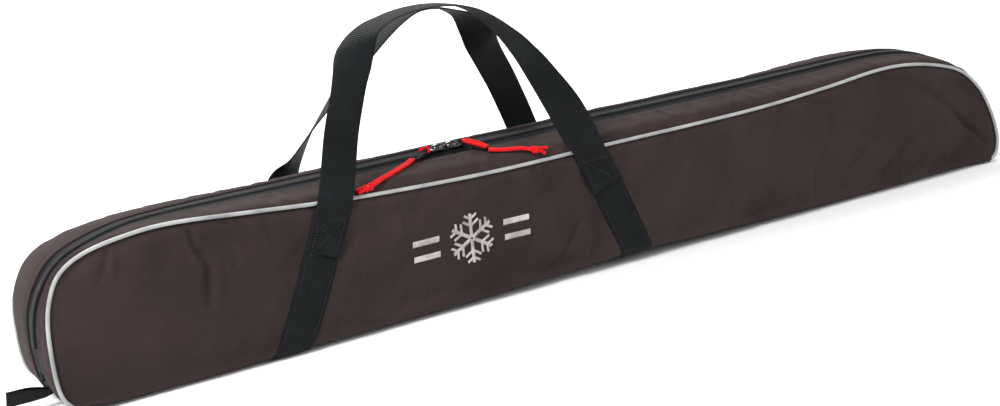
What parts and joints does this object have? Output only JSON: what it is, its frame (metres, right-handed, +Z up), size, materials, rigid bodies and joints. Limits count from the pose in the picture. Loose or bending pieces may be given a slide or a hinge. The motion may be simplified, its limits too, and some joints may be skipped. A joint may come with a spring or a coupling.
{
  "type": "ski bag",
  "caption": "Long slim zip-top carry bag of woven fabric with piped seams, a gusset zip with cord pulls, wrap-round webbing and carry handles.",
  "frame": {"origin": "on the ground under the middle of the fabric body, on the face the bag rests on", "axes": "+X along the bag to its right end, -Y towards the front panel, +Z up"},
  "size_m": [1.294, 0.1451, 0.3115],
  "materials": {
    "shell_fabric": "woven polyester, matt",
    "gusset_fabric": "woven polyester, matt",
    "webbing": "woven webbing, soft sheen",
    "piping": "silver grey, satin",
    "zip_tape": "woven tape, matt",
    "zip_coil": "nylon coil",
    "slider": "black nickel, glossy",
    "pull": "black, satin",
    "cord": "braided cord",
    "thread": "thread",
    "embroidery": "silver grey thread, satin",
    "binding": "woven tape, matt"
  },
  "bodies": {
    "bag": {"main_panel": "shell_fabric", "front_gusset": "gusset_fabric", "rear_gusset": "gusset_fabric", "left_zip_tapes": "zip_tape", "right_zip_tapes": "zip_tape", "left_zip_chain": "zip_coil", "right_zip_chain": "zip_coil", "left_zip_stop": "zip_coil", "right_zip_stop": "zip_coil", "left_grab_tab": "webbing", "right_grab_tab": "webbing", "front_piping": "piping", "rear_piping": "piping", "left_band": "webbing", "right_band": "webbing", "front_bartacks": "thread", "rear_bartacks": "thread", "front_seam_binding": "binding", "rear_seam_binding": "binding", "emblem": "embroidery"},
    "front_flap": {"front_mouth_flap": "gusset_fabric", "front_zip_tape": "zip_tape", "front_zip_coil": "zip_coil"},
    "rear_flap": {"rear_mouth_flap": "gusset_fabric", "rear_zip_tape": "zip_tape", "rear_zip_coil": "zip_coil"},
    "left_slider": {"left_slider": "slider"},
    "right_slider": {"right_slider": "slider"},
    "left_pull": {"left_pull": "pull", "left_cord_bight": "cord"},
    "right_pull": {"right_pull": "pull", "right_cord_bight": "cord"},
    "front_handle": {"front_handle": "webbing"},
    "rear_handle": {"rear_handle": "webbing"},
    "left_cords": {"left_cord_a": "cord", "left_cord_b": "cord", "left_cord_knot": "cord"},
    "right_cords": {"right_cord_a": "cord", "right_cord_b": "cord", "right_cord_knot": "cord"}
  },
  "joints": [
    {"name": "front_flap_fold", "type": "hinge", "parent": "bag", "child": "front_flap", "pos_m": [0, -0.052, 0.148], "axis": [-1, 0, 0], "range_deg": [0, 95]},
    {"name": "rear_flap_fold", "type": "hinge", "parent": "bag", "child": "rear_flap", "pos_m": [0, 0.052, 0.148], "axis": [1, 0, 0], "range_deg": [0, 95]},
    {"name": "left_slider_travel", "type": "slide", "parent": "bag", "child": "left_slider", "axis": [-1, 0, 0], "range_m": [0, 0.28]},
    {"name": "right_slider_travel", "type": "slide", "parent": "bag", "child": "right_slider", "axis": [1, 0, 0], "range_m": [0, 0.6]},
    {"name": "left_pull_swing", "type": "hinge", "parent": "left_slider", "child": "left_pull", "pos_m": [-0.185, -0.012, 0.1631], "axis": [-0.5299, 0.848, 0], "range_deg": [0, 110]},
    {"name": "right_pull_swing", "type": "hinge", "parent": "right_slider", "child": "right_pull", "pos_m": [-0.145, -0.012, 0.1631], "axis": [-0.8387, -0.5446, 0], "range_deg": [0, 110]},
    {"name": "front_handle_swing", "type": "hinge", "parent": "bag", "child": "front_handle", "pos_m": [-0.17, -0.0614, 0.131], "axis": [1, 0, 0], "range_deg": [0, 140]},
    {"name": "rear_handle_swing", "type": "hinge", "parent": "bag", "child": "rear_handle", "pos_m": [-0.17, 0.0614, 0.131], "axis": [-1, 0, 0], "range_deg": [0, 140]},
    {"name": "left_cord_lift", "type": "hinge", "parent": "left_slider", "child": "left_cords", "pos_m": [-0.212, -0.0275, 0.1594], "axis": [-0.3489, 0.8878, -0.2999], "range_deg": [0, 35]},
    {"name": "right_cord_lift", "type": "hinge", "parent": "right_slider", "child": "right_cords", "pos_m": [-0.1282, -0.039, 0.1554], "axis": [-0.301, -0.8825, 0.3613], "range_deg": [0, 35]}
  ],
  "couplings": [
    {"joint": "rear_flap_fold", "follows": "front_flap_fold", "ratio": 1},
    {"joint": "left_slider_travel", "follows": "front_flap_fold", "m_per_rad": 0.1688},
    {"joint": "right_slider_travel", "follows": "front_flap_fold", "m_per_rad": 0.3618},
    {"joint": "left_cord_lift", "follows": "front_flap_fold", "ratio": 0.3684},
    {"joint": "right_cord_lift", "follows": "front_flap_fold", "ratio": 0.3684}
  ]
}
